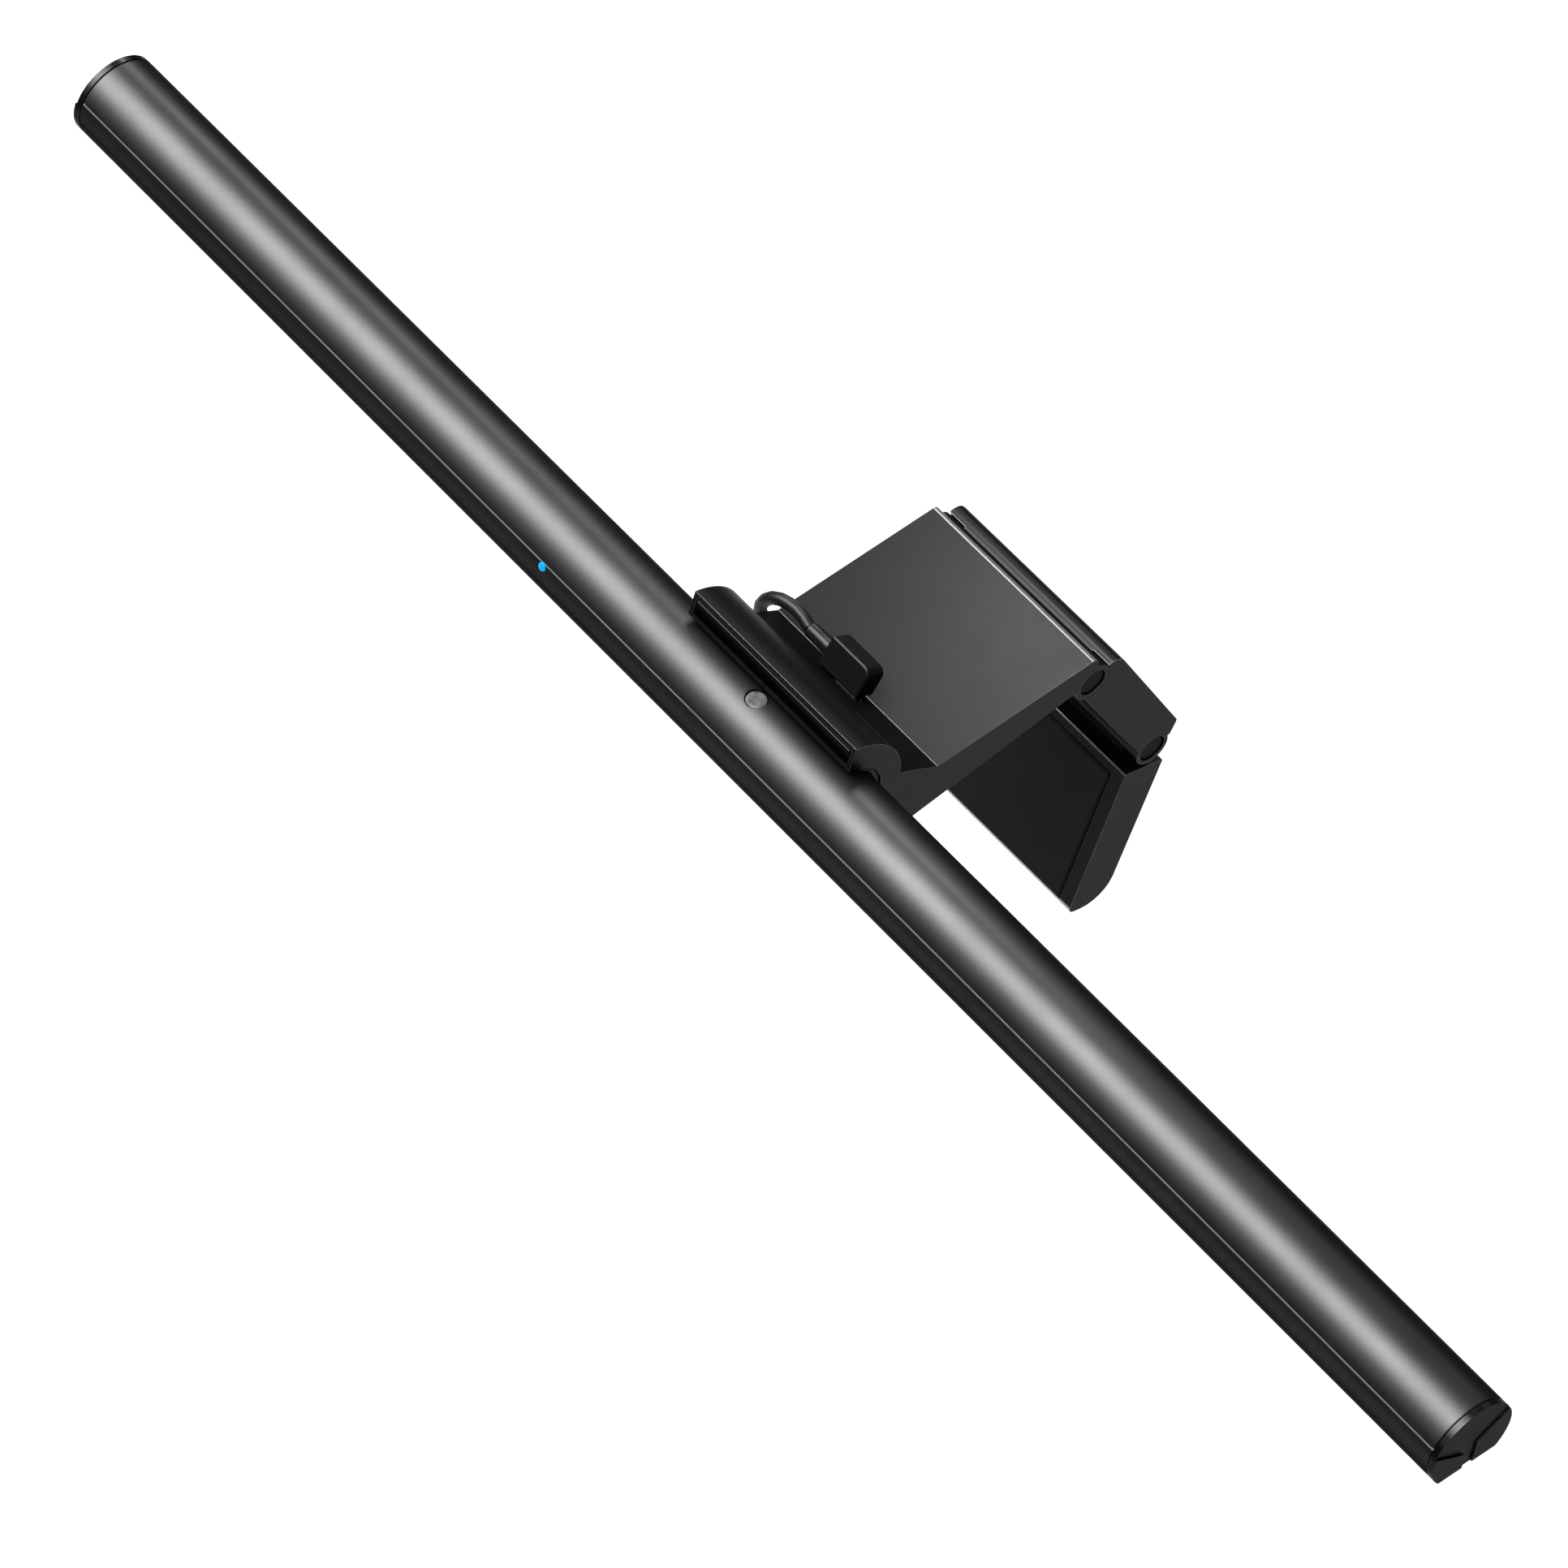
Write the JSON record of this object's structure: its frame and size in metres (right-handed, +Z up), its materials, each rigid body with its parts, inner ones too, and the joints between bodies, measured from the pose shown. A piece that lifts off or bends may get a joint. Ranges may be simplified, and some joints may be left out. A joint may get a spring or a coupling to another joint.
{
  "type": "monitor light bar",
  "caption": "Tube-shaped LED light bar that turns in a saddle on a hinged, weighted clamp, which rests on a monitor's top edge; USB cord plugged in.",
  "frame": {"origin": "middle of the clamp's flat rest pad, at the level of the monitor's top edge", "axes": "+X along the bar towards the right of someone sitting at the monitor, +Y towards the back of the monitor, +Z up"},
  "size_m": [0.5144, 0.1384, 0.1675],
  "materials": {
    "satin_shell": "dark grey satin coating",
    "black_rubber": "black, matt",
    "magnet_nickel": "nickel plated",
    "gold_contact": "gold plated",
    "gloss_trim": "black, polished",
    "bright_steel": "bright",
    "circuit_board": "green solder mask",
    "cable_jacket": "black, satin",
    "hook_and_loop": "black woven strap",
    "anodised_aluminium": "dark grey anodised, satin",
    "opal_diffuser": "milky white, satin",
    "raw_aluminium": "bare, rolled",
    "smoked_lens": "smoked grey, clear",
    "blue_lens": "blue, clear"
  },
  "bodies": {
    "clamp": {"arm_shell": "satin_shell", "saddle_liner": "black_rubber", "saddle_magnet_left": "magnet_nickel", "saddle_magnet_right": "magnet_nickel", "contact_block": "gold_contact", "saddle_front_strip": "gloss_trim", "usb_socket": "bright_steel", "socket_board": "circuit_board", "arm_under_cover": "satin_shell", "monitor_rest_pad": "black_rubber", "hook_pad": "black_rubber", "cover_screw_1": "bright_steel", "cover_screw_2": "bright_steel", "top_hinge_pin": "bright_steel", "top_pin_cap_left": "gloss_trim", "top_pin_cap_right": "gloss_trim", "usb_c_plug_body": "cable_jacket", "usb_c_plug_nose": "bright_steel", "usb_c_strain_relief": "cable_jacket", "usb_cord": "cable_jacket", "usb_cord_tail": "cable_jacket", "cord_hank": "cable_jacket", "cord_tie": "hook_and_loop", "usb_a_plug_body": "cable_jacket", "usb_a_plug_shell": "bright_steel"},
    "light_bar": {"bar_housing": "anodised_aluminium", "bar_diffuser": "opal_diffuser", "led_carrier": "raw_aluminium", "led_board": "circuit_board", "driver_board": "circuit_board", "sensor_window": "smoked_lens", "indicator_lens": "blue_lens", "bar_keeper_plate": "bright_steel", "bar_contact_plate": "gold_contact", "end_cap_left": "gloss_trim", "end_cap_right": "gloss_trim"},
    "rear_link": {"link_shell": "satin_shell", "link_counterweight": "bright_steel", "link_cover": "satin_shell", "top_friction_sleeve": "bright_steel", "low_hinge_pin": "bright_steel", "low_pin_cap_left": "gloss_trim", "low_pin_cap_right": "gloss_trim"},
    "rear_flap": {"flap_shell": "satin_shell", "flap_counterweight": "bright_steel", "flap_pad": "black_rubber", "low_friction_sleeve": "bright_steel"}
  },
  "joints": [
    {"name": "bar_tilt", "type": "hinge", "parent": "clamp", "child": "light_bar", "pos_m": [0, -0.048, 0.0274], "axis": [1, 0, 0], "range_deg": [-20, 10]},
    {"name": "rear_link_hinge", "type": "hinge", "parent": "clamp", "child": "rear_link", "pos_m": [0, 0.0326, -0.00033], "axis": [1, 0, 0], "range_deg": [-60, 40]},
    {"name": "rear_flap_hinge", "type": "hinge", "parent": "rear_link", "child": "rear_flap", "pos_m": [0, 0.05044, -0.05098], "axis": [1, 0, 0], "range_deg": [-40, 60]}
  ]
}
